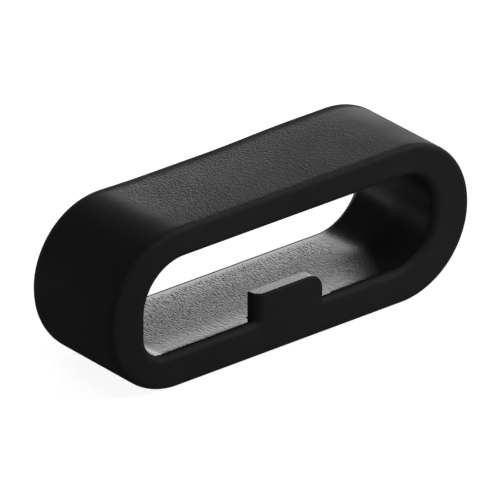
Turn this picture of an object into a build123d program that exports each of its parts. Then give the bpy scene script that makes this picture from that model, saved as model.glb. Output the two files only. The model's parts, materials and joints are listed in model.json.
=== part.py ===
from build123d import *
from math import atan2, degrees, hypot
import os

# A watch strap keeper: a soft moulded loop that holds the free end of a strap, with a small
# tab on its inner floor that drops into one of the strap's holes and stops the loop sliding.
# X runs along the loop, Y goes through it from the front to the back, and Z is up.
# The loop lies on its flat underside at Z = 0, and is centred on X = 0 and Y = 0.

# The loop outside
loop_length = 25.0
loop_height = 9.4
loop_depth = 7.1

# The walls round the strap passage, at the front face
top_wall = 1.85
bottom_wall = 2.1
end_wall = 2.5

# The corners of the strap passage, at the front face
left_roof_corner = 2.7
left_floor_corner = 1.4
right_roof_corner = 2.1
right_floor_corner = 2.7

# How much wider the passage is on every side at the back face, so that it leaves its mould
passage_flare = 0.2

# The roundings of the loop's four rims
front_outer_rounding = 0.35
front_passage_rounding = 0.55
back_outer_rounding = 0.85
back_passage_rounding = 0.75

# The locating tab, which stands flush with the loop's front face
tab_width = 4.6
tab_height = 1.6
tab_thickness = 0.9
tab_offset = -0.1
tab_round_corner = 0.95
tab_upright_rounding = 0.35
tab_edge_rounding = 0.13

# The most of a wall that the roundings of its two edges may take
wall_rounding_share = 0.98

# The most of the passage's half height that one of its corners may take
passage_corner_share = 0.995

# The most of a side of the tab that one of its roundings may take
tab_rounding_share = 0.6

# Places that follow from the sizes
front_face = -loop_depth / 2
back_face = loop_depth / 2
passage_length = loop_length - end_wall * 2
passage_height = loop_height - top_wall - bottom_wall
passage_middle = bottom_wall + passage_height / 2
tab_top = bottom_wall + tab_height
tab_foot = bottom_wall - front_passage_rounding


def upright_at_back(outline, middle):
    """Stands a flat outline up at the back face, with its middle at the given height."""
    return Plane.XZ * Pos(0, middle, -back_face) * outline


def outside_form():
    """Gives the loop's outside as one solid bar."""
    outline = SlotOverall(loop_length, loop_height)
    return extrude(upright_at_back(outline, loop_height / 2), loop_depth)


def passage_outline():
    """Gives the passage's outline at the back face, where it is widest, lying flat."""
    end = passage_length / 2 + passage_flare
    side = passage_height / 2 + passage_flare
    outline = Rectangle(end * 2, side * 2)
    corners = (
        (-end, side, left_roof_corner),
        (-end, -side, left_floor_corner),
        (end, side, right_roof_corner),
        (end, -side, right_floor_corner),
    )
    for across, up, corner in corners:
        radius = min(corner + passage_flare, side * passage_corner_share)
        sharp = outline.vertices().sort_by_distance((across, up))[0]
        outline = fillet(sharp, radius)
    return outline


def passage_form():
    """Gives the strap passage as a solid that narrows from the back face to the front face."""
    narrowing = degrees(atan2(passage_flare, loop_depth))
    return extrude(upright_at_back(passage_outline(), passage_middle), loop_depth, taper=narrowing)


def wall_at_corner(rise, corner):
    """Gives the wall between the loop's round end and a passage corner this far off mid-height."""
    end_radius = loop_height / 2
    along = max(0, passage_length / 2 - corner - (loop_length / 2 - end_radius))
    upward = max(0, rise - corner)
    return end_radius - corner - hypot(along, upward)


def thinnest_wall():
    """Gives the thinnest wall at the front face, straight or at a corner of the passage."""
    roof_rise = loop_height / 2 - top_wall
    floor_drop = loop_height / 2 - bottom_wall
    roof_walls = [wall_at_corner(roof_rise, size) for size in (left_roof_corner, right_roof_corner)]
    floor_walls = [wall_at_corner(floor_drop, size) for size in (left_floor_corner, right_floor_corner)]
    return min(top_wall, bottom_wall, end_wall, *roof_walls, *floor_walls)


def wall_roundings(outer, inner, wall):
    """Gives the two roundings of a wall's edge, eased alike where the wall has no room for them."""
    ease = min(1, wall * wall_rounding_share / (outer + inner))
    return outer * ease, inner * ease


def round_rims(loop, side, outer, inner):
    """Rounds the outer and the inner rim of the front face (side 0) or the back face (side -1)."""
    face = loop.faces().filter_by(Plane.XZ).sort_by(Axis.Y)[side]
    loop = fillet(face.outer_wire().edges(), outer)
    face = loop.faces().filter_by(Plane.XZ).sort_by(Axis.Y)[side]
    return fillet(face.inner_wires()[0].edges(), inner)


def plain_loop():
    """Gives the whole loop with its rounded rims, before the tab's foot is let into it."""
    wall = thinnest_wall()
    front = wall_roundings(front_outer_rounding, front_passage_rounding, wall)
    back = wall_roundings(back_outer_rounding, back_passage_rounding, wall - passage_flare)
    loop = outside_form() - passage_form()
    loop = round_rims(loop, 0, *front)
    return round_rims(loop, -1, *back)


def tab_block():
    """Gives the square block that the tab is shaped from, from its foot to its top."""
    height = tab_top - tab_foot
    middle = Pos(tab_offset, front_face + tab_thickness / 2, tab_foot + height / 2)
    return middle * Box(tab_width, tab_thickness, height)


def tab_blade():
    """Gives the upright blade of the tab, with a round right corner and softened front edges."""
    upright_rounding = min(tab_upright_rounding, tab_thickness * tab_rounding_share)
    round_corner = min(tab_round_corner, tab_height * tab_rounding_share)
    edge_rounding = min(tab_edge_rounding, upright_rounding * tab_rounding_share)
    blade = tab_block()
    front_uprights = blade.edges().filter_by(Axis.Z).group_by(Axis.Y)[0]
    blade = fillet(front_uprights.sort_by(Axis.X)[0], upright_rounding)
    top_corners = blade.edges().filter_by(Axis.Y).group_by(Axis.Z)[-1]
    blade = fillet(top_corners.sort_by(Axis.X)[-1], round_corner)
    front_top = blade.edges().filter_by(Axis.X).group_by(Axis.Z)[-1].sort_by(Axis.Y)[0]
    return fillet(front_top, edge_rounding)


def make_parts():
    """Gives the two sub-parts by name. The tab's foot fills its seat in the floor face to face."""
    loop = plain_loop()
    seat = tab_block()
    return {
        "keeper_loop": loop - seat,
        "locating_tab": (loop & seat) + tab_blade(),
    }


os.makedirs("parts", exist_ok=True)
for name, shape in make_parts().items():
    export_step(shape, f"parts/{name}.step")
    print(name, "volume", round(shape.volume, 2), "box", shape.bounding_box())
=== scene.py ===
"""Dresses a moulded rubber watch strap keeper: a loop with a small locating tab inside it.

The pieces are modelled in millimetres, in the same place as the solids, and each finished piece
is brought to metres. X runs along the loop, Y goes through it from front to back, and Z is up.
"""

import json
import logging
from dataclasses import dataclass
from enum import Enum
from math import cos, hypot, pi, radians, sin
from typing import Callable

import bmesh
import bpy
from mathutils import Matrix, Vector

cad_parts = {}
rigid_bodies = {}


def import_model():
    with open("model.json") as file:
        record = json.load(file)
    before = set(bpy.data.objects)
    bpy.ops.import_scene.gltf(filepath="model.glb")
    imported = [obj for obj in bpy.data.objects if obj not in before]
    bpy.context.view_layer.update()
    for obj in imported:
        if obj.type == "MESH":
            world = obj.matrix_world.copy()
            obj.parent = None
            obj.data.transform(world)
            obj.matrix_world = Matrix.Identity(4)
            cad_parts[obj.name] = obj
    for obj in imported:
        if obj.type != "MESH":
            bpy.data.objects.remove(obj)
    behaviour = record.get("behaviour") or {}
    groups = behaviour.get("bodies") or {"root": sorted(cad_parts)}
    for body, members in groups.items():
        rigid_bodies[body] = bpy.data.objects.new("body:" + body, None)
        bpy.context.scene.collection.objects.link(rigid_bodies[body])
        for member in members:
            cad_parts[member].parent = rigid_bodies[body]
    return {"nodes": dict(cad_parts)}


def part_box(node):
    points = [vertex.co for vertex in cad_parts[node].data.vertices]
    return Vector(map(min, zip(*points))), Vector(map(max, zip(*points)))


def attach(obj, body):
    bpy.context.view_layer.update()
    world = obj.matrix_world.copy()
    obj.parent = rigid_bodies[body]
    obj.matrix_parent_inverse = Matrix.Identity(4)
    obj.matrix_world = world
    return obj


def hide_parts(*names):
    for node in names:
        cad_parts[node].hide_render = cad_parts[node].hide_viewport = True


LOG = logging.getLogger("keeper")
METRES = 0.001
MILLIMETRES = 1000.0
SAME_PLACE = 1e-3
MERGED_PLACE = SAME_PLACE / 10
ROUND_PROFILE = 0.5
SHARP_ANGLE = 40.0
# A mix node's colour sockets share their names with its other sockets, so they go by number.
MIX_FIRST_COLOUR = 6
MIX_SECOND_COLOUR = 7
MIX_RESULT_COLOUR = 2
Socket = bpy.types.NodeSocket
# Where an effect starts and where it is full, in millimetres.
Stretch = tuple[float, float]


class Element(Enum):
    """The kinds of mesh element that can be picked."""

    VERTEX = "VERT"
    EDGE = "EDGE"
    FACE = "FACE"


class Axis(Enum):
    """The places of the axes in a vector."""

    X = 0
    Y = 1
    Z = 2


class Sum(Enum):
    """The kinds of sum that a material uses."""

    ADD = "ADD"
    SUBTRACT = "SUBTRACT"
    MULTIPLY = "MULTIPLY"
    DIVIDE = "DIVIDE"
    LARGER = "MAXIMUM"
    UNSIGNED = "ABSOLUTE"


class Surface(Enum):
    """The places of the finishes among a piece's materials. The lands are the front and back faces."""

    OUTSIDE = 0
    PASSAGE = 1
    LAND = 2
    TAB_TOP = 3


@dataclass(frozen=True)
class Corners:
    """The radii of an outline's four corners, seen from the front, in millimetres."""

    left_roof: float
    left_floor: float
    right_roof: float
    right_floor: float

    def grown(self, by: float) -> "Corners":
        """Gives the corners of the same outline moved outwards by a distance."""
        sizes = (self.left_roof, self.left_floor, self.right_roof, self.right_floor)
        return Corners(*(size + by for size in sizes))


@dataclass(frozen=True)
class Outline:
    """An upright outline with rounded corners, in millimetres."""

    length: float
    floor: float
    roof: float
    corners: Corners

    def middle(self) -> float:
        """Gives the height of the outline's middle."""
        return (self.floor + self.roof) / 2

    def sharp_corners(self) -> list[tuple[float, float, float]]:
        """Gives an (x, z, radius) for each corner."""
        end = self.length / 2
        return [
            (-end, self.roof, self.corners.left_roof),
            (-end, self.floor, self.corners.left_floor),
            (end, self.roof, self.corners.right_roof),
            (end, self.floor, self.corners.right_floor),
        ]


def deselect_all() -> None:
    """Deselects every object, with no object left active."""
    for item in bpy.context.view_layer.objects:
        item.select_set(False)
    bpy.context.view_layer.objects.active = None


class Workpiece:
    """A mesh object while it is being shaped."""

    def __init__(self, piece: bpy.types.Object) -> None:
        """Takes hold of a mesh object, which sits at the origin."""
        self.piece = piece

    @classmethod
    def empty(cls, name: str) -> "Workpiece":
        """Starts a piece with no faces yet.

        Args:
            name: The piece's name.

        Returns:
            The new workpiece, in edit mode.
        """
        deselect_all()
        bpy.ops.mesh.primitive_plane_add(size=1)
        piece = bpy.context.object
        piece.name = name
        piece.data.name = name
        bpy.ops.object.mode_set(mode="EDIT")
        bpy.ops.mesh.delete(type="VERT")
        return cls(piece)

    @classmethod
    def box(cls, name: str, low: Vector, high: Vector) -> "Workpiece":
        """Makes a square block.

        Args:
            name: The piece's name.
            low: The lowest corner.
            high: The highest corner.

        Returns:
            The new workpiece, in object mode, with its place in its mesh.
        """
        deselect_all()
        bpy.ops.mesh.primitive_cube_add(size=1, location=(low + high) / 2)
        piece = bpy.context.object
        piece.name = name
        piece.data.name = name
        piece.scale = high - low
        bpy.ops.object.transform_apply(location=True, rotation=True, scale=True)
        return cls(piece)

    def take_in(self, other: "Workpiece") -> None:
        """Adds another workpiece's mesh to this one.

        Args:
            other: The other workpiece, which is used up.
        """
        self.select()
        other.piece.select_set(True)
        bpy.ops.object.join()

    def select(self) -> None:
        """Selects the piece alone, as the active object."""
        deselect_all()
        self.piece.select_set(True)
        bpy.context.view_layer.objects.active = self.piece

    def edit(self) -> None:
        """Opens the piece's mesh for shaping."""
        self.select()
        bpy.ops.object.mode_set(mode="EDIT")

    def leave(self) -> None:
        """Closes the piece's mesh."""
        bpy.ops.object.mode_set(mode="OBJECT")

    def pick(self, kind: Element, wanted: Callable[..., bool]) -> None:
        """Selects only the mesh elements that pass a test.

        Args:
            kind: Vertices, edges or faces.
            wanted: The test, given one element.
        """
        bpy.ops.mesh.select_mode(type=kind.value)
        bpy.ops.mesh.select_all(action="DESELECT")
        mesh = bmesh.from_edit_mesh(self.piece.data)
        sets = {Element.VERTEX: mesh.verts, Element.EDGE: mesh.edges, Element.FACE: mesh.faces}
        for item in [item for item in sets[kind] if wanted(item)]:
            item.select_set(True)
        mesh.select_flush_mode()
        bmesh.update_edit_mesh(self.piece.data)

    def round_picked(self, radius: float, segments: int, kind: Element = Element.EDGE) -> None:
        """Rounds what is selected.

        Args:
            radius: The rounding's radius.
            segments: How many facets it has.
            kind: Edges, or the corners of a flat outline.
        """
        affect = "EDGES" if kind is Element.EDGE else "VERTICES"
        bpy.ops.mesh.bevel(
            offset_type="OFFSET", offset=radius, segments=segments, profile=ROUND_PROFILE, affect=affect,
            clamp_overlap=False,
        )

    def cut_picked(self, cuts: int) -> None:
        """Cuts the selected edges, and the faces between them, into equal stretches."""
        bpy.ops.mesh.subdivide(number_cuts=cuts)

    def round_by_weight(self, width: float, segments: int, share: Callable[..., float]) -> None:
        """Rounds the edges that a rule names, each by its own share of one radius.

        Args:
            width: The full radius.
            segments: How many facets the rounding has.
            share: The rule, given an edge's two ends and the normals of its faces, and giving
                the share of the radius, or 0 to leave the edge sharp.
        """
        mesh = bmesh.from_edit_mesh(self.piece.data)
        mesh.normal_update()
        layer = mesh.edges.layers.float.get("bevel_weight_edge")
        if layer is None:
            layer = mesh.edges.layers.float.new("bevel_weight_edge")
        for edge in mesh.edges:
            ends = [v.co for v in edge.verts]
            edge[layer] = share(ends, [f.normal for f in edge.link_faces])
        bmesh.update_edit_mesh(self.piece.data)
        self.leave()
        modifier = self.piece.modifiers.new("rounding", "BEVEL")
        modifier.limit_method = "WEIGHT"
        modifier.width = width
        modifier.segments = segments
        modifier.use_clamp_overlap = False
        bpy.ops.object.modifier_apply(modifier=modifier.name)
        self.edit()

    def cut_away(self, other: "Workpiece") -> None:
        """Cuts the form of another workpiece out of the piece.

        Args:
            other: The other workpiece, which is then deleted.
        """
        modifier = self.piece.modifiers.new("cut", "BOOLEAN")
        modifier.operation = "DIFFERENCE"
        modifier.solver = "EXACT"
        modifier.object = other.piece
        self.select()
        bpy.ops.object.modifier_apply(modifier=modifier.name)
        bpy.data.objects.remove(other.piece)

    def close(self) -> bpy.types.Object:
        """Points the faces outwards, smooths the shading and brings the piece to metres.

        Returns:
            The finished object.
        """
        self.edit()
        bpy.ops.mesh.select_all(action="SELECT")
        bpy.ops.mesh.remove_doubles(threshold=MERGED_PLACE)
        bpy.ops.mesh.normals_make_consistent(inside=False)
        bpy.ops.transform.resize(value=(METRES,) * 3, center_override=(0, 0, 0))
        self.leave()
        bpy.ops.object.shade_smooth_by_angle(angle=radians(SHARP_ANGLE))
        modifier = self.piece.modifiers.new("even_shading", "WEIGHTED_NORMAL")
        modifier.keep_sharp = True
        bpy.ops.object.modifier_apply(modifier=modifier.name)
        return self.piece


@dataclass
class KeeperLoop:
    """The moulded loop: its rims, its passage and the soft sag of its roof, in millimetres.

    The corners of the outside take end_share of half its height. A point belongs to the outside from
    outer_share of that half height outwards. A face belongs to a land where its normal's part along
    the depth is past land_share, or past front_land_share on the passage's front rim.
    """

    low: Vector
    high: Vector
    top_wall: float = 1.85
    bottom_wall: float = 2.1
    end_wall: float = 2.5
    corners: Corners = Corners(2.7, 1.4, 2.1, 2.7)
    flare: float = 0.2
    front_outer_rounding: float = 0.35
    front_passage_rounding: float = 0.45
    back_outer_rounding: float = 0.85
    back_passage_rounding: float = 0.75
    corner_segments: int = 28
    length_cuts: int = 56
    end_cuts: int = 3
    rim_segments: int = 9
    back_passage_segments: int = 24
    depth_cuts: int = 22
    face_cuts: int = 5
    end_share: float = 0.995
    land_share: float = 0.77
    front_land_share: float = 0.3
    outer_share: float = 0.735
    sag: float = 0.13
    sag_stretch: tuple[float, float] = (-5.0, -0.5)
    sag_reach: float = 6.0

    def end_radius(self) -> float:
        """Gives the radius of the loop's round ends."""
        return (self.high.z - self.low.z) / 2

    def outside(self) -> Outline:
        """Gives the loop's outer outline."""
        corners = Corners(*(self.end_radius() * self.end_share,) * 4)
        return Outline(self.high.x - self.low.x, self.low.z, self.high.z, corners)

    def passage(self, flare: float) -> Outline:
        """Gives the passage's outline.

        Args:
            flare: How much wider it is on every side than at the front face.

        Returns:
            The outline.
        """
        length = self.high.x - self.low.x - self.end_wall * 2 + flare * 2
        floor = self.low.z + self.bottom_wall - flare
        roof = self.high.z - self.top_wall + flare
        return Outline(length, floor, roof, self.corners.grown(flare))

    def from_middle_line(self, point: Vector) -> float:
        """Gives a point's distance from the line that the round ends are centred on."""
        past_line = max(0.0, abs(point.x) - (self.high.x - self.end_radius()))
        return hypot(past_line, point.z - self.low.z - self.end_radius())

    def is_outer(self, point: Vector) -> bool:
        """Tells whether a point lies nearer the outside than the passage."""
        return self.from_middle_line(point) > self.end_radius() * self.outer_share

    def outline_piece(self, outline: Outline, place: float) -> Workpiece:
        """Models one closed outline of edges.

        Args:
            outline: The outline.
            place: Where it stands along the depth.

        Returns:
            The workpiece, in object mode.
        """
        middle = (0.0, place, outline.middle())
        work = Workpiece.empty("outline")
        bpy.ops.mesh.primitive_plane_add(size=1, location=middle, rotation=(pi / 2, 0, 0))
        size = (outline.length, 1, outline.roof - outline.floor)
        bpy.ops.transform.resize(value=size, center_override=middle)
        for x, z, radius in outline.sharp_corners():
            corner = Vector((x, place, z))
            work.pick(Element.VERTEX, lambda v: (v.co - corner).length < SAME_PLACE)
            work.round_picked(radius, self.corner_segments, Element.VERTEX)
        bpy.ops.mesh.select_all(action="SELECT")
        bpy.ops.mesh.delete(type="ONLY_FACE")
        end = outline.length / 2
        work.pick(Element.EDGE, lambda e: e.calc_length() > end)
        work.cut_picked(self.length_cuts)
        work.pick(Element.EDGE, lambda e: all(abs(abs(v.co.x) - end) < MERGED_PLACE for v in e.verts))
        work.cut_picked(self.end_cuts)
        work.leave()
        return work

    def bridged(
        self, first: Outline, first_place: float, second: Outline, second_place: float,
    ) -> Workpiece:
        """Models a wall between two outlines.

        Args:
            first: The outline at one end of the wall.
            first_place: Where it stands along the depth.
            second: The outline at the other end.
            second_place: Where that stands.

        Returns:
            The workpiece, in object mode.
        """
        work = self.outline_piece(first, first_place)
        work.take_in(self.outline_piece(second, second_place))
        work.edit()
        bpy.ops.mesh.select_all(action="SELECT")
        bpy.ops.mesh.bridge_edge_loops()
        work.leave()
        return work

    def skin(self) -> Workpiece:
        """Models the whole loop with sharp rims, with no seat for the tab yet.

        Returns:
            The workpiece, in edit mode.
        """
        front, back = self.low.y, self.high.y
        outside, passage = self.outside(), self.passage(0)
        flared = self.passage(self.flare)
        work = self.bridged(outside, front, outside, back)
        work.take_in(self.bridged(passage, front, flared, back))
        work.take_in(self.bridged(outside, front, passage, front))
        work.take_in(self.bridged(outside, back, flared, back))
        work.edit()
        bpy.ops.mesh.select_all(action="SELECT")
        bpy.ops.mesh.remove_doubles(threshold=MERGED_PLACE)
        bpy.ops.mesh.select_all(action="SELECT")
        bpy.ops.mesh.normals_make_consistent(inside=False)
        return work

    def round_rim(
        self, work: Workpiece, place: float, outer: bool, radius: float, segments: int,
    ) -> None:
        """Rounds one of the loop's four rims.

        Args:
            work: The workpiece, in edit mode.
            place: Where the rim's face stands along the depth.
            outer: Whether it is the outer rim or the passage's.
            radius: The rounding's radius.
            segments: How many facets it has.
        """

        def is_rim(edge: bmesh.types.BMEdge) -> bool:
            """Tells whether an edge is part of the rim."""
            here = all(abs(v.co.y - place) < SAME_PLACE for v in edge.verts)
            return here and all(self.is_outer(v.co) == outer for v in edge.verts)

        work.pick(Element.EDGE, is_rim)
        work.round_picked(radius, segments)

    def shape(self) -> Workpiece:
        """Models the whole loop with its rounded rims and evenly cut walls.

        Returns:
            The workpiece, in edit mode.
        """
        front, back = self.low.y, self.high.y
        work = self.skin()
        self.round_rim(work, front, True, self.front_outer_rounding, self.rim_segments)
        self.round_rim(work, front, False, self.front_passage_rounding, self.rim_segments)
        self.round_rim(work, back, True, self.back_outer_rounding, self.rim_segments)
        self.round_rim(work, back, False, self.back_passage_rounding, self.back_passage_segments)
        reach = (back - front) / 2
        work.pick(Element.EDGE, lambda e: abs(e.verts[0].co.y - e.verts[1].co.y) > reach)
        work.cut_picked(self.depth_cuts)

        def crosses_front(edge: bmesh.types.BMEdge) -> bool:
            """Tells whether an edge crosses the front face from the outer rim to the passage's."""
            here = all(abs(v.co.y - front) < SAME_PLACE for v in edge.verts)
            return here and self.is_outer(edge.verts[0].co) != self.is_outer(edge.verts[1].co)

        work.pick(Element.EDGE, crosses_front)
        work.cut_picked(self.face_cuts)
        return work

    def sag_roof(self, work: Workpiece) -> None:
        """Lets the soft roof sag a little towards the back, most at the left of the middle.

        Args:
            work: The workpiece, in edit mode.
        """
        start, finish = self.sag_stretch
        edge = self.high.y - self.back_outer_rounding
        halfway = self.high.z - self.top_wall / 2

        def is_sagging(vertex: bmesh.types.BMVert) -> bool:
            """Tells whether a corner of the mesh lies where the roof sags most."""
            place = vertex.co
            return start < place.x < finish and place.y > edge and place.z > halfway

        work.pick(Element.VERTEX, is_sagging)
        bpy.ops.transform.translate(
            value=(0, 0, -self.sag), use_proportional_edit=True, proportional_edit_falloff="SMOOTH",
            proportional_size=self.sag_reach,
        )

    def build(self, seat: tuple[Vector, Vector]) -> Workpiece:
        """Models the loop with the seat that the tab's foot fills.

        Args:
            seat: The seat's lowest and highest corners.

        Returns:
            The workpiece, in object mode.
        """
        work = self.shape()
        self.sag_roof(work)
        work.leave()
        work.cut_away(Workpiece.box("seat", *seat))
        return work

    def surface_of(self, face: bpy.types.MeshPolygon) -> Surface:
        """Gives the finish of a face.

        Args:
            face: The face, in metres.

        Returns:
            The kind of surface.
        """
        if not self.is_outer(face.center * MILLIMETRES):
            return Surface.PASSAGE if self.is_drawn(face.normal) else Surface.LAND
        return Surface.LAND if abs(face.normal.y) > self.land_share else Surface.OUTSIDE

    def is_drawn(self, normal: Vector) -> bool:
        """Tells whether a face of the passage with this normal was drawn by the mould's core."""
        return -self.front_land_share < normal.y < self.land_share


@dataclass
class LocatingTab:
    """The tab and the patch of floor that it grows out of, in millimetres.

    Two faces meet in a sharp edge where their normals have less than sharp_share in common, and a
    face is level where its normal's upward part is past level_share.
    """

    low: Vector
    high: Vector
    loop: KeeperLoop
    side_margin: float = 0.8
    back_margin: float = 0.6
    foot_depth: float = 0.95
    seat_margin: float = 1.0
    round_corner: float = 0.95
    upright_rounding: float = 0.6
    edge_rounding: float = 0.13
    back_rounding: float = 0.07
    base_rounding: float = 0.08
    top_drop: float = 0.05
    corner_segments: int = 16
    base_segments: int = 7
    back_segments: int = 5
    sharp_share: float = 0.5
    level_share: float = 0.9
    flat_angle: float = 0.2
    near: float = 0.005

    def floor_at(self, place: float) -> float:
        """Gives the height of the passage's floor at a place along the depth."""
        slope = self.loop.flare / (self.loop.high.y - self.loop.low.y)
        return self.loop.low.z + self.loop.bottom_wall - (place - self.loop.low.y) * slope

    def patch(self) -> tuple[Vector, Vector]:
        """Measures the floor patch under the tab.

        Returns:
            Its lowest and highest corners.
        """
        floor = self.floor_at(self.low.y)
        low = Vector((self.low.x - self.side_margin, self.low.y, floor - self.foot_depth))
        high = Vector((self.high.x + self.side_margin, self.high.y + self.back_margin, floor))
        return low, high

    def seat(self) -> tuple[Vector, Vector]:
        """Gives the block that the loop leaves free for the patch, past its front and its top."""
        low, high = self.patch()
        return low + Vector((0, -self.seat_margin, 0)), high + Vector((0, 0, self.seat_margin))

    def block(self) -> Workpiece:
        """Models the patch with the tab standing square on it.

        Returns:
            The workpiece, in edit mode.
        """
        low, high = self.patch()
        work = Workpiece.box("locating_tab_skin", low, high)
        work.edit()

        def is_back_top(vertex: bmesh.types.BMVert) -> bool:
            """Tells whether a corner of the block is at its back and its top."""
            return abs(vertex.co.y - high.y) < SAME_PLACE and abs(vertex.co.z - high.z) < SAME_PLACE

        work.pick(Element.VERTEX, is_back_top)
        bpy.ops.transform.translate(value=(0, 0, self.floor_at(high.y) - high.z))
        cuts = (
            (Vector((self.low.x, 0, 0)), Vector((1, 0, 0))),
            (Vector((self.high.x, 0, 0)), Vector((1, 0, 0))),
            (Vector((0, self.high.y, 0)), Vector((0, 1, 0))),
        )
        for place, across in cuts:
            bpy.ops.mesh.select_all(action="SELECT")
            bpy.ops.mesh.bisect(plane_co=place, plane_no=across)
        middle = (self.low + self.high) / 2

        def is_foot(face: bmesh.types.BMFace) -> bool:
            """Tells whether a face is the part of the patch's top that the tab stands on.

            Args:
                face: The face.

            Returns:
                Whether it is.
            """
            centre = face.calc_center_median()
            inside = abs(centre.x - middle.x) < self.near and centre.y < self.high.y
            return face.normal.z > self.level_share and inside

        work.pick(Element.FACE, is_foot)
        height = self.high.z - self.floor_at(self.low.y)
        bpy.ops.mesh.extrude_region_move(TRANSFORM_OT_translate={"value": (0, 0, height)})
        bpy.ops.transform.resize(value=(1, 1, 0), center_override=(middle.x, middle.y, self.high.z))
        bpy.ops.mesh.select_all(action="SELECT")
        bpy.ops.mesh.normals_make_consistent(inside=False)
        bpy.ops.mesh.dissolve_limited(angle_limit=radians(self.flat_angle))
        return work

    def is_at(self, ends: list[Vector], axis: Axis, value: float) -> bool:
        """Tells whether both ends of an edge have the same given place on one axis."""
        return all(abs(end[axis.value] - value) < self.near for end in ends)

    def is_sharp(self, normals: list[Vector]) -> bool:
        """Tells whether the two faces at an edge turn sharply away from each other."""
        return normals[0].dot(normals[1]) < self.sharp_share

    def round_corner_top(self, work: Workpiece) -> None:
        """Rounds the tab's right top corner.

        Args:
            work: The workpiece, in edit mode.
        """

        def is_corner(edge: bmesh.types.BMEdge) -> bool:
            """Tells whether an edge is the corner's."""
            ends = [v.co for v in edge.verts]
            return self.is_at(ends, Axis.X, self.high.x) and self.is_at(ends, Axis.Z, self.high.z)

        work.pick(Element.EDGE, is_corner)
        work.round_picked(self.round_corner, self.corner_segments)

    def round_base(self, work: Workpiece) -> None:
        """Fills the corner where the tab's sides and back meet the floor.

        Args:
            work: The workpiece, in edit mode.
        """

        def is_base(edge: bmesh.types.BMEdge) -> bool:
            """Tells whether an edge lies in that corner."""
            return not edge.is_convex and self.is_sharp([f.normal for f in edge.link_faces])

        work.pick(Element.EDGE, is_base)
        work.round_picked(self.base_rounding, self.base_segments)

    def front_radius(self, height: float, upright: float) -> float:
        """Gives the front rounding's radius, which eases from the rim's into the tab's at its base.

        Args:
            height: The height of the place.
            upright: The radius above the base.

        Returns:
            The radius.
        """
        rim = self.loop.front_passage_rounding
        rise = (height - self.floor_at(self.low.y)) / self.base_rounding
        eased = min(1.0, max(0.0, rise))
        return rim + (upright - rim) * eased

    def round_left_front(self, work: Workpiece) -> None:
        """Rounds the floor's front edge at the tab's left, and the tab's left upright.

        Args:
            work: The workpiece, in edit mode.
        """
        floor = self.floor_at(self.low.y)

        def share(ends: list[Vector], normals: list[Vector]) -> float:
            """Gives an edge's share of the upright's radius.

            Args:
                ends: The edge's two ends.
                normals: The normals of its faces.

            Returns:
                The share.
            """
            middle = (ends[0] + ends[1]) / 2
            left = middle.x < self.low.x + self.near and middle.z > floor - self.near
            if not (left and self.is_at(ends, Axis.Y, self.low.y) and self.is_sharp(normals)):
                return 0.0
            return self.front_radius(middle.z, self.upright_rounding) / self.upright_rounding

        work.round_by_weight(self.upright_rounding, self.loop.rim_segments, share)

    def round_top_and_right_front(self, work: Workpiece) -> None:
        """Rounds the tab's top and right edges, and the floor's front edge at the tab's right.

        Args:
            work: The workpiece, in edit mode.
        """
        floor = self.floor_at(self.low.y)
        rim = self.loop.front_passage_rounding

        def share(ends: list[Vector], normals: list[Vector]) -> float:
            """Gives an edge's share of the rim's radius.

            Args:
                ends: The edge's two ends.
                normals: The normals of its faces.

            Returns:
                The share.
            """
            middle = (ends[0] + ends[1]) / 2
            above = middle.z > floor - self.near
            front = above and middle.x > self.low.x and self.is_at(ends, Axis.Y, self.low.y)
            top = self.is_at(ends, Axis.Z, self.high.z) and not self.is_at(ends, Axis.Y, self.high.y)
            if not ((front or top) and self.is_sharp(normals)):
                return 0.0
            return self.front_radius(middle.z, self.edge_rounding) / rim

        work.round_by_weight(rim, self.loop.rim_segments, share)

    def round_back(self, work: Workpiece) -> None:
        """Rounds the tab's back edges.

        Args:
            work: The workpiece, in edit mode.
        """

        def is_back(edge: bmesh.types.BMEdge) -> bool:
            """Tells whether an edge is one of the tab's back edges."""
            sharp = self.is_sharp([f.normal for f in edge.link_faces])
            return sharp and self.is_at([v.co for v in edge.verts], Axis.Y, self.high.y)

        work.pick(Element.EDGE, is_back)
        work.round_picked(self.back_rounding, self.back_segments)

    def tip_top(self, work: Workpiece) -> None:
        """Tips the tab's top a little towards the back.

        Args:
            work: The workpiece, in edit mode.
        """
        mesh = bmesh.from_edit_mesh(work.piece.data)
        bottom = self.floor_at(self.low.y) + self.base_rounding
        for vertex in mesh.verts:
            height = (vertex.co.z - bottom) / (self.high.z - bottom)
            if height > 0:
                behind = (vertex.co.y - self.low.y) / (self.high.y - self.low.y)
                vertex.co.z -= self.top_drop * height * behind
        bmesh.update_edit_mesh(work.piece.data)

    def surface_of(self, face: bpy.types.MeshPolygon) -> Surface:
        """Gives the finish of a face: the core drew the floor and the tab's top smooth.

        Args:
            face: The face, in metres.

        Returns:
            The kind of surface.
        """
        if face.normal.z < self.loop.land_share or not self.loop.is_drawn(face.normal):
            return Surface.LAND
        halfway = (self.high.z + self.floor_at(self.low.y)) / 2
        return Surface.TAB_TOP if face.center.z * MILLIMETRES > halfway else Surface.PASSAGE

    def build(self) -> Workpiece:
        """Models the tab on its patch of floor.

        Returns:
            The workpiece, in object mode.
        """
        work = self.block()
        self.round_corner_top(work)
        self.round_base(work)
        self.round_left_front(work)
        self.round_top_and_right_front(work)
        self.round_back(work)
        self.tip_top(work)
        work.leave()
        return work


@dataclass(frozen=True)
class Noise:
    """The settings of a noise pattern."""

    detail: float
    roughness: float = 0.5
    distortion: float = 0.0


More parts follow.
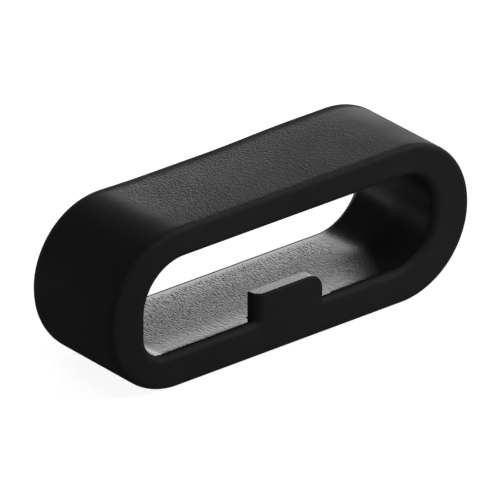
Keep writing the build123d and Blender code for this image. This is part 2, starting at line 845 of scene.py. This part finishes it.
class NodeSheet:
    """A node tree while it is being laid out."""

    def __init__(self, tree: bpy.types.NodeTree) -> None:
        """Takes hold of a node tree."""
        self.tree = tree

    def give(self, socket: Socket, value: object) -> None:
        """Links a value to a socket if it is a socket itself, or else sets it.

        Args:
            socket: The socket that takes the value.
            value: The value or socket.
        """
        if isinstance(value, Socket):
            self.tree.links.new(value, socket)
        else:
            socket.default_value = value

    def add(self, kind: str, settings: dict | None = None, **values: object) -> bpy.types.Node:
        """Adds a node.

        Args:
            kind: The node's type.
            settings: The node's own properties.
            values: What its sockets are given, by the socket's name with _ for a space.

        Returns:
            The new node.
        """
        node = self.tree.nodes.new(kind)
        for name, value in (settings or {}).items():
            setattr(node, name, value)
        for name, value in values.items():
            self.give(node.inputs[name.replace("_", " ")], value)
        return node

    def maths(self, what: Sum, first: object, second: object = 0.0, clamp: bool = False) -> Socket:
        """Adds a sum of two values, or of one where the sum takes no second.

        Args:
            what: The kind of sum.
            first: The first value or socket.
            second: The second value or socket.
            clamp: Whether the result is kept between 0 and 1.

        Returns:
            The result's socket.
        """
        node = self.add("ShaderNodeMath", {"operation": what.value, "use_clamp": clamp})
        for socket, value in zip(node.inputs, (first, second)):
            self.give(socket, value)
        return node.outputs[0]

    def rise(self, value: Socket, stretch: Stretch) -> Socket:
        """Adds a smooth step along a place in metres.

        Args:
            value: The place.
            stretch: Where the result is 0 and where it is 1.

        Returns:
            The result's socket.
        """
        start, full = (edge * METRES for edge in stretch)
        smooth = {"interpolation_type": "SMOOTHSTEP"}
        node = self.add("ShaderNodeMapRange", smooth, Value=value, From_Min=start, From_Max=full)
        return node.outputs["Result"]

    def rise_both(
        self, first: Socket, first_stretch: Stretch, second: Socket, second_stretch: Stretch,
    ) -> Socket:
        """Adds a smooth step that is full only where two places are both past their stretches."""
        return self.maths(Sum.MULTIPLY, self.rise(first, first_stretch), self.rise(second, second_stretch))

    def noise(self, place: Socket, scale: object, kind: Noise) -> Socket:
        """Adds a noise pattern.

        Args:
            place: The coordinates.
            scale: The patterns in a unit of the coordinates, as a value or a socket.
            kind: The pattern's settings.

        Returns:
            The result's socket.
        """
        node = self.add(
            "ShaderNodeTexNoise", Vector=place, Scale=scale, Detail=kind.detail, Roughness=kind.roughness,
            Distortion=kind.distortion,
        )
        return node.outputs[0]

    def stretched(self, place: Socket, scale: tuple[float, float, float]) -> Socket:
        """Adds coordinates in metres with each axis scaled to its patterns per metre."""
        return self.add("ShaderNodeMapping", Vector=place, Scale=scale).outputs["Vector"]


class GroupSheet(NodeSheet):
    """A shader node group while its nodes are being laid out."""

    def __init__(self, name: str, inputs: dict[str, str], outputs: dict[str, str]) -> None:
        """Starts a group with its sockets.

        Args:
            name: The group's name.
            inputs: The type of each input socket by its name.
            outputs: The type of each output socket by its name.
        """
        super().__init__(bpy.data.node_groups.new(name, "ShaderNodeTree"))
        for side, sockets in (("INPUT", inputs), ("OUTPUT", outputs)):
            for socket, kind in sockets.items():
                self.tree.interface.new_socket(socket, in_out=side, socket_type=kind)
        self.given = self.add("NodeGroupInput").outputs
        self.result = self.add("NodeGroupOutput").inputs


@dataclass(frozen=True)
class MouldGrain:
    """The fine wavy grain that an etched mould leaves on rubber: waves, with pits, in patches."""

    waves: Noise = Noise(2.0, 0.55, 0.6)
    pits: Noise = Noise(1.0)
    pits_to_a_wave: float = 2.3
    pits_height: float = 0.35
    patches: Noise = Noise(3.0)
    patches_to_a_wave: float = 0.09

    def group(self) -> bpy.types.NodeTree:
        """Makes the node group.

        Returns:
            The group. Place is in metres and Size is the waves' size in millimetres.
        """
        inputs = {"Place": "NodeSocketVector", "Size": "NodeSocketFloat"}
        outputs = {"Height": "NodeSocketFloat", "Patches": "NodeSocketFloat"}
        sheet = GroupSheet("mould_grain", inputs, outputs)
        place = sheet.given["Place"]
        scale = sheet.maths(Sum.DIVIDE, MILLIMETRES, sheet.given["Size"])
        waves = sheet.noise(place, scale, self.waves)
        pits = sheet.noise(place, sheet.maths(Sum.MULTIPLY, scale, self.pits_to_a_wave), self.pits)
        patches = sheet.noise(place, sheet.maths(Sum.MULTIPLY, scale, self.patches_to_a_wave), self.patches)
        fine = sheet.maths(Sum.MULTIPLY, pits, self.pits_height)
        sheet.give(sheet.result["Height"], sheet.maths(Sum.ADD, waves, fine))
        sheet.give(sheet.result["Patches"], patches)
        return sheet.tree


@dataclass(frozen=True)
class CoreStreaks:
    """The fine streaks that the passage gets as its core is drawn out, with blots over them."""

    lines: Noise = Noise(1.0, 0.5, 0.5)
    lines_per_metre: tuple[float, float, float] = (10500.0, 3300.0, 5500.0)
    blots: Noise = Noise(3.0, 0.55)
    blots_per_metre: tuple[float, float, float] = (900.0, 500.0, 900.0)
    shade_share: float = 0.5

    def group(self) -> bpy.types.NodeTree:
        """Makes the node group.

        Returns:
            The group. Place is in metres.
        """
        inputs = {"Place": "NodeSocketVector"}
        outputs = {"Height": "NodeSocketFloat", "Shade": "NodeSocketFloat"}
        sheet = GroupSheet("core_streaks", inputs, outputs)
        place = sheet.given["Place"]
        lines = sheet.noise(sheet.stretched(place, self.lines_per_metre), 1.0, self.lines)
        blots = sheet.noise(sheet.stretched(place, self.blots_per_metre), 1.0, self.blots)
        shade = sheet.maths(Sum.MULTIPLY, sheet.maths(Sum.ADD, lines, blots), self.shade_share)
        sheet.give(sheet.result["Height"], lines)
        sheet.give(sheet.result["Shade"], shade)
        return sheet.tree


def colour(grey: float) -> tuple[float, float, float, float]:
    """Gives a grey as a colour."""
    return (grey, grey, grey, 1.0)


class FinishSheet(NodeSheet):
    """A material while its nodes are being laid out."""

    def __init__(self, name: str) -> None:
        """Starts a material, with the piece's own coordinates at hand.

        Args:
            name: The material's name.
        """
        self.finish = bpy.data.materials.new(name)
        self.finish.use_nodes = True
        super().__init__(self.finish.node_tree)
        self.shader = self.tree.nodes["Principled BSDF"]
        self.place = self.add("ShaderNodeTexCoord").outputs["Object"]
        self.axes = self.add("ShaderNodeSeparateXYZ", Vector=self.place).outputs

    def feed(self, name: str, value: object) -> None:
        """Gives a value or socket to the shader's input of this name."""
        self.give(self.shader.inputs[name], value)

    def tint(self, share: Socket, dark: float, light: float) -> None:
        """Colours the surface between two greys.

        Args:
            share: How light each place is, from 0 to 1.
            dark: The grey at 0.
            light: The grey at 1.
        """
        mix = self.add("ShaderNodeMix", {"data_type": "RGBA"}, Factor=share)
        mix.inputs[MIX_FIRST_COLOUR].default_value = colour(dark)
        mix.inputs[MIX_SECOND_COLOUR].default_value = colour(light)
        self.feed("Base Color", mix.outputs[MIX_RESULT_COLOUR])

    def roughen(self, uneven: Socket, middle: float, spread: float, change: Socket) -> None:
        """Sets the roughness.

        Args:
            uneven: The pattern of the roughness, from 0 to 1.
            middle: The roughness halfway through the pattern.
            spread: How far apart the pattern's 0 and 1 are.
            change: What is added at each place.
        """
        plain = self.maths(Sum.ADD, self.maths(Sum.MULTIPLY, uneven, spread), middle - spread / 2)
        self.feed("Roughness", self.maths(Sum.ADD, plain, change, clamp=True))

    def emboss(self, height: Socket, strength: Socket, depth: float) -> None:
        """Presses a pattern into the surface.

        Args:
            height: The pattern.
            strength: How much of it each place has, from 0 to 1.
            depth: The full depth in millimetres.
        """
        bump = self.add(
            "ShaderNodeBump", Strength=1.0, Distance=depth * METRES,
            Height=self.maths(Sum.MULTIPLY, height, strength),
        )
        self.feed("Normal", bump.outputs[0])


@dataclass(frozen=True)
class GrainedRubber:
    """Black rubber with the etched mould's grain, as on the loop's outside.

    It is a little shinier towards the left and the back, and duller again along its back edge and
    round its left end.
    """

    name: str = "grained_black_rubber"
    dark: float = 0.015
    light: float = 0.019
    paler: Stretch = (-12.5, -6.0)
    gloss: float = 0.5
    roughness: float = 0.58
    roughness_spread: float = 0.16
    shine: float = 0.17
    shine_lean: float = -0.3
    shiny: Stretch = (-5.0, 5.0)
    dulling: float = 0.42
    dulled: Stretch = (2.2, 2.9)
    dulled_left: Stretch = (-7.0, -9.6)
    grain_size: float = 0.16
    grain_depth: float = 0.08
    grained: Stretch = (8.4, 6.2)

    def material(self, grain: bpy.types.NodeTree) -> bpy.types.Material:
        """Makes the material.

        Args:
            grain: The mould grain's group.

        Returns:
            The material.
        """
        sheet = FinishSheet(self.name)
        across, behind = sheet.axes["X"], sheet.axes["Y"]
        settings = {"node_tree": grain}
        texture = sheet.add("ShaderNodeGroup", settings, Place=sheet.place, Size=self.grain_size).outputs
        paleness = sheet.maths(Sum.MULTIPLY, texture["Patches"], sheet.rise(across, self.paler))
        sheet.tint(paleness, self.dark, self.light)
        leaning = sheet.maths(Sum.ADD, behind, sheet.maths(Sum.MULTIPLY, across, self.shine_lean))
        shine = sheet.maths(Sum.MULTIPLY, sheet.rise(leaning, self.shiny), self.shine)
        by_back, by_left = sheet.rise(behind, self.dulled), sheet.rise(across, self.dulled_left)
        dulling = sheet.maths(Sum.MULTIPLY, sheet.maths(Sum.LARGER, by_back, by_left), self.dulling)
        change = sheet.maths(Sum.SUBTRACT, dulling, shine)
        sheet.roughen(texture["Patches"], self.roughness, self.roughness_spread, change)
        sheet.feed("Specular IOR Level", self.gloss)
        strength = sheet.rise(sheet.maths(Sum.UNSIGNED, across), self.grained)
        sheet.emboss(texture["Height"], strength, self.grain_depth)
        return sheet.finish


LAND_RUBBER = GrainedRubber(
    name="plain_black_rubber", dark=0.004, light=0.027, roughness=0.68, roughness_spread=0.12,
    shine=0.0, dulling=0.0, grain_size=0.4, grain_depth=0.02,
)


@dataclass(frozen=True)
class PassageRubber:
    """Black rubber drawn along the depth by the mould's core, and polished near its rims by the strap."""

    name: str = "drawn_black_rubber"
    dark: float = 0.008
    light: float = 0.016
    roughness: float = 0.31
    roughness_spread: float = 0.12
    polish: float = 0.17
    polished_front: Stretch = (-1.3, -3.0)
    polished_left: Stretch = (6.0, 1.5)
    polished_back: Stretch = (0.3, 3.1)
    polished_middle: Stretch = (8.5, 5.5)
    back_polish_share: float = 1.2
    polished_floor: Stretch = (4.4, 3.3)
    dulling: float = 0.2
    dull_right: Stretch = (4.0, 7.5)
    dull_front: Stretch = (0.8, -0.8)
    streak_depth: float = 0.042
    streaks_by_depth: Stretch = (-4.5, 0.5)
    streaks_by_length: Stretch = (8.5, 5.5)
    streaks_past_end: Stretch = (-9.2, -7.8)
    streaks_before_rim: Stretch = (2.95, 2.3)
    streaks_by_height: Stretch = (3.5, 2.3)

    def wear(self, sheet: FinishSheet) -> Socket:
        """Adds what the polish takes from the roughness and the dull right front adds to it.

        Args:
            sheet: The material's sheet.

        Returns:
            The result's socket.
        """
        across, behind = sheet.axes["X"], sheet.axes["Y"]
        by_front = sheet.rise_both(behind, self.polished_front, across, self.polished_left)
        by_back = sheet.rise_both(behind, self.polished_back, across, self.polished_middle)
        by_back = sheet.maths(Sum.MULTIPLY, by_back, self.back_polish_share)
        by_rims = sheet.maths(Sum.LARGER, by_front, by_back)
        on_floor = sheet.maths(Sum.MULTIPLY, by_rims, sheet.rise(sheet.axes["Z"], self.polished_floor))
        polish = sheet.maths(Sum.MULTIPLY, on_floor, self.polish)
        right_front = sheet.rise_both(across, self.dull_right, behind, self.dull_front)
        return sheet.maths(Sum.SUBTRACT, sheet.maths(Sum.MULTIPLY, right_front, self.dulling), polish)

    def streaked(self, sheet: FinishSheet) -> Socket:
        """Adds how much of the streaks each place has.

        Args:
            sheet: The material's sheet.

        Returns:
            The result's socket.
        """
        across, behind, up = sheet.axes["X"], sheet.axes["Y"], sheet.axes["Z"]
        strength = sheet.rise_both(behind, self.streaks_by_depth, across, self.streaks_by_length)
        fades = (
            (across, self.streaks_past_end), (behind, self.streaks_before_rim), (up, self.streaks_by_height),
        )
        for place, stretch in fades:
            strength = sheet.maths(Sum.MULTIPLY, strength, sheet.rise(place, stretch))
        return strength

    def material(self, streaks: bpy.types.NodeTree) -> bpy.types.Material:
        """Makes the material.

        Args:
            streaks: The core streaks' group.

        Returns:
            The material.
        """
        sheet = FinishSheet(self.name)
        texture = sheet.add("ShaderNodeGroup", {"node_tree": streaks}, Place=sheet.place).outputs
        sheet.tint(texture["Shade"], self.dark, self.light)
        sheet.roughen(texture["Shade"], self.roughness, self.roughness_spread, self.wear(sheet))
        sheet.emboss(texture["Height"], self.streaked(sheet), self.streak_depth)
        return sheet.finish


TAB_TOP_RUBBER = PassageRubber(name="tab_top_rubber", roughness=0.36, streaks_by_height=(6.0, 5.0))


@dataclass(frozen=True)
class Softbox:
    """A square soft light that faces the object, in metres, degrees and watts.

    Its turn runs from straight behind the object towards the right, and its rise from the floor.
    """

    name: str
    turn: float
    rise: float
    size: float
    power: float


@dataclass
class Studio:
    """The floor, the lights and the camera, in metres and degrees.

    Mirrored rays see the floor glow from where far_floor starts, in millimetres behind the object.
    The camera sees what lies between the two shares of its reach in camera_clip.
    """

    middle: Vector
    floor_size: float = 4.0
    floor_drop: float = 0.00001
    floor_grey: float = 0.6
    floor_roughness: float = 0.9
    floor_glow: float = 0.92
    far_mirrored: float = 0.6
    far_floor: Stretch = (5.0, 40.0)
    softboxes: tuple[Softbox, ...] = (
        Softbox("horizon", 50.0, 4.0, 0.14, 0.14),
        Softbox("behind_low", 39.4, 19.5, 0.15, 0.22),
        Softbox("behind_right", 72.0, 24.0, 0.16, 0.16),
        Softbox("right", 129.4, 30.0, 0.2, 0.6),
        Softbox("front", 219.4, 65.0, 0.2, 0.2),
    )
    softbox_reach: float = 0.5
    world_grey: float = 0.07
    camera_azimuth: float = 39.4
    camera_elevation: float = 26.405
    camera_reach: float = 0.714286
    camera_clip: tuple[float, float] = (0.1, 100.0)
    focal_length: float = 956.3
    aim_drop: float = 0.000307

    def floor_material(self) -> bpy.types.Material:
        """Makes the pale floor's material, which keeps shadows and looks near white to the camera.

        Returns:
            The material.
        """
        sheet = FinishSheet("pale_floor")
        path = sheet.add("ShaderNodeLightPath").outputs
        # Mirrored rays alone see the floor glow behind the object: a painted pool of light that the rubber
        # reflects.
        far = sheet.maths(Sum.MULTIPLY, sheet.rise(sheet.axes["Y"], self.far_floor), self.far_mirrored)
        mirrored = sheet.maths(Sum.MULTIPLY, path["Is Glossy Ray"], far)
        seen = sheet.maths(Sum.MULTIPLY, path["Is Camera Ray"], self.floor_glow)
        sheet.feed("Emission Strength", sheet.maths(Sum.ADD, seen, mirrored))
        sheet.feed("Emission Color", colour(1.0))
        sheet.feed("Base Color", colour(self.floor_grey))
        sheet.feed("Roughness", self.floor_roughness)
        sheet.feed("Specular IOR Level", 0.0)
        return sheet.finish

    def floor(self) -> None:
        """Lays the pale floor just clear of the underside."""
        deselect_all()
        bpy.ops.mesh.primitive_plane_add(size=self.floor_size, location=(0, 0, -self.floor_drop))
        floor = bpy.context.object
        floor.name = "floor"
        floor.data.materials.append(self.floor_material())

    def hang(self, softbox: Softbox) -> None:
        """Hangs one soft light.

        Args:
            softbox: The light.
        """
        across, up = radians(softbox.turn), radians(softbox.rise)
        away = Vector((sin(across) * cos(up), cos(across) * cos(up), sin(up)))
        data = bpy.data.lights.new(softbox.name, "AREA")
        data.shape = "SQUARE"
        data.size = softbox.size
        data.energy = softbox.power
        light = bpy.data.objects.new(softbox.name, data)
        light.location = self.middle + away * self.softbox_reach
        light.rotation_euler = away.to_track_quat("Z", "Y").to_euler()
        bpy.context.scene.collection.objects.link(light)

    def lights(self) -> None:
        """Hangs the lights and sets the world."""
        for softbox in self.softboxes:
            self.hang(softbox)
        world = bpy.data.worlds.new("studio")
        world.use_nodes = True
        world.node_tree.nodes["Background"].inputs["Color"].default_value = colour(self.world_grey)
        bpy.context.scene.world = world

    def camera(self) -> None:
        """Stands the camera at the photograph's viewing angle."""
        turn, rise = radians(self.camera_azimuth), radians(self.camera_elevation)
        right = Vector((cos(turn), -sin(turn), 0))
        back = Vector((-sin(turn) * cos(rise), -cos(turn) * cos(rise), sin(rise)))
        up = back.cross(right)
        data = bpy.data.cameras.new("camera")
        data.lens = self.focal_length
        data.clip_start, data.clip_end = (self.camera_reach * share for share in self.camera_clip)
        camera = bpy.data.objects.new("camera", data)
        turned = Matrix((right, up, back)).transposed().to_4x4()
        turned.translation = self.middle - up * self.aim_drop + back * self.camera_reach
        camera.matrix_world = turned
        bpy.context.scene.collection.objects.link(camera)
        bpy.context.scene.camera = camera


def dress(
    piece: bpy.types.Object, finishes: dict[Surface, bpy.types.Material],
    surface_of: Callable[[bpy.types.MeshPolygon], Surface],
) -> None:
    """Gives each face of a piece its finish.

    Args:
        piece: The finished piece.
        finishes: The material of each kind of surface.
        surface_of: Tells a face's kind of surface.
    """
    piece.data.materials.clear()
    for surface in Surface:
        piece.data.materials.append(finishes[surface])
    for face in piece.data.polygons:
        face.material_index = surface_of(face).value


def put_in_place(piece: bpy.types.Object, name: str) -> None:
    """Names a finished piece, and has it ride and stand for its node.

    Args:
        piece: The finished piece.
        name: The CAD node that it stands for.
    """
    piece.name = f"{name}_moulded"
    piece.data.name = piece.name
    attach(piece, "root")
    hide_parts(name)
    LOG.info("%s has %d faces", piece.name, len(piece.data.polygons))


def main() -> None:
    """Builds the pieces, dresses them and sets up the studio."""
    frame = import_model()
    LOG.info("the frame holds %d nodes", len(frame["nodes"]))
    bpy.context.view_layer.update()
    low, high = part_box("keeper_loop")
    tab_low, tab_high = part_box("locating_tab")
    loop = KeeperLoop(low * MILLIMETRES, high * MILLIMETRES)
    tab = LocatingTab(tab_low * MILLIMETRES, tab_high * MILLIMETRES, loop)
    loop_piece = loop.build(tab.seat()).close()
    tab_piece = tab.build().close()
    grain = MouldGrain().group()
    streaks = CoreStreaks().group()
    finishes = {
        Surface.OUTSIDE: GrainedRubber().material(grain),
        Surface.PASSAGE: PassageRubber().material(streaks),
        Surface.LAND: LAND_RUBBER.material(grain),
        Surface.TAB_TOP: TAB_TOP_RUBBER.material(streaks),
    }
    dress(loop_piece, finishes, loop.surface_of)
    dress(tab_piece, finishes, tab.surface_of)
    put_in_place(loop_piece, "keeper_loop")
    put_in_place(tab_piece, "locating_tab")
    studio = Studio(Vector((0, 0, (low.z + high.z) / 2)))
    studio.floor()
    studio.lights()
    studio.camera()
    bpy.context.scene.view_settings.view_transform = "Standard"


if __name__ == "__main__":
    logging.basicConfig(level=logging.INFO)
    main()
